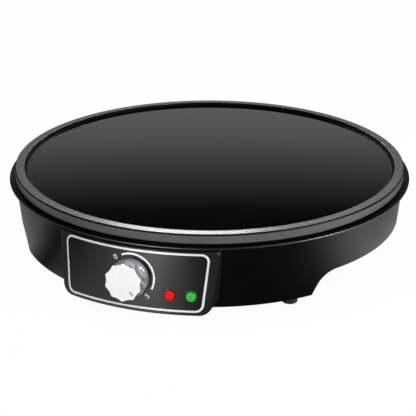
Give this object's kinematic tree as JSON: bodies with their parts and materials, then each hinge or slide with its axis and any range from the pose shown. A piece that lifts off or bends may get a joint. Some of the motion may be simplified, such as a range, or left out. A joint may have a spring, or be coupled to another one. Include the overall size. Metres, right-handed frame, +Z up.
{
  "type": "electric crepe maker",
  "caption": "Round electric crepe maker: shallow rimmed plate on a low drum housing, with grip arches, feet, and a leaning front panel with a fluted knob and pilot lamps.",
  "frame": {"origin": "on the plate's axis, in the plane of the table", "axes": "+Z up along the plate's axis, -Y towards the user and the control panel, +X to the user's right"},
  "size_m": [0.314, 0.3329, 0.0647],
  "materials": {
    "nonstick": "cast, dark non-stick coating, satin",
    "black_plastic": "fine satin, heat-resistant",
    "black_gloss": "polished",
    "silver_line": "bright, satin",
    "knob_white": "silver-white, satin",
    "lens_red": "translucent, polished",
    "lens_green": "translucent, polished",
    "foot_rubber": "soft, matte",
    "steel": "zinc-plated",
    "heater_sheath": "heat-darkened",
    "brass": "bright",
    "copper": "drawn copper",
    "ceramic": "unglazed",
    "moulding": "phenolic, matte",
    "bulb_glass": "clear",
    "sleeve_white": "nylon",
    "wire_brown": "silicone",
    "wire_blue": "silicone",
    "wire_green": "silicone",
    "wire_white": "silicone"
  },
  "bodies": {
    "knob": {"knob": "knob_white", "knob_clip": "steel", "thermostat_shaft": "steel"},
    "base": {"cooking_plate": "nonstick", "housing": "black_plastic", "control_box": "black_gloss", "panel_trim": "silver_line", "panel_fascia": "black_gloss", "power_lens": "lens_red", "ready_lens": "lens_green", "feet": "foot_rubber", "heating_element": "heater_sheath", "heater_terminals": "brass", "element_clips": "steel", "clip_screws": "steel", "heat_shield": "steel", "spacers": "ceramic", "plate_bolts": "steel", "thermostat_body": "moulding", "thermostat_bush": "brass", "thermostat_terminals": "brass", "thermostat_bracket": "steel", "thermostat_screws": "steel", "capillary_tube": "copper", "sensor_bulb": "copper", "bulb_clip": "steel", "power_lamp": "bulb_glass", "ready_lamp": "bulb_glass", "lamp_push_nuts": "steel", "panel_screws": "steel", "base_cover": "black_plastic", "base_screws": "steel", "cord_gland": "black_plastic", "gland_nut": "black_plastic", "terminal_block": "sleeve_white", "terminal_screws": "steel", "thermal_fuse": "steel", "fuse_clamp": "steel", "earth_tag": "brass", "spade_sleeves": "sleeve_white", "live_wire": "wire_brown", "switched_wire": "wire_brown", "neutral_wire": "wire_blue", "return_wire": "wire_blue", "earth_wire": "wire_green", "power_lamp_wire": "wire_white", "ready_lamp_wire": "wire_white"}
  },
  "joints": [
    {"name": "knob_turn", "type": "hinge", "parent": "base", "child": "knob", "pos_m": [0, -0.15962, 0.0318], "axis": [0, -0.9929, 0.1191], "range_deg": [0, 180]}
  ]
}
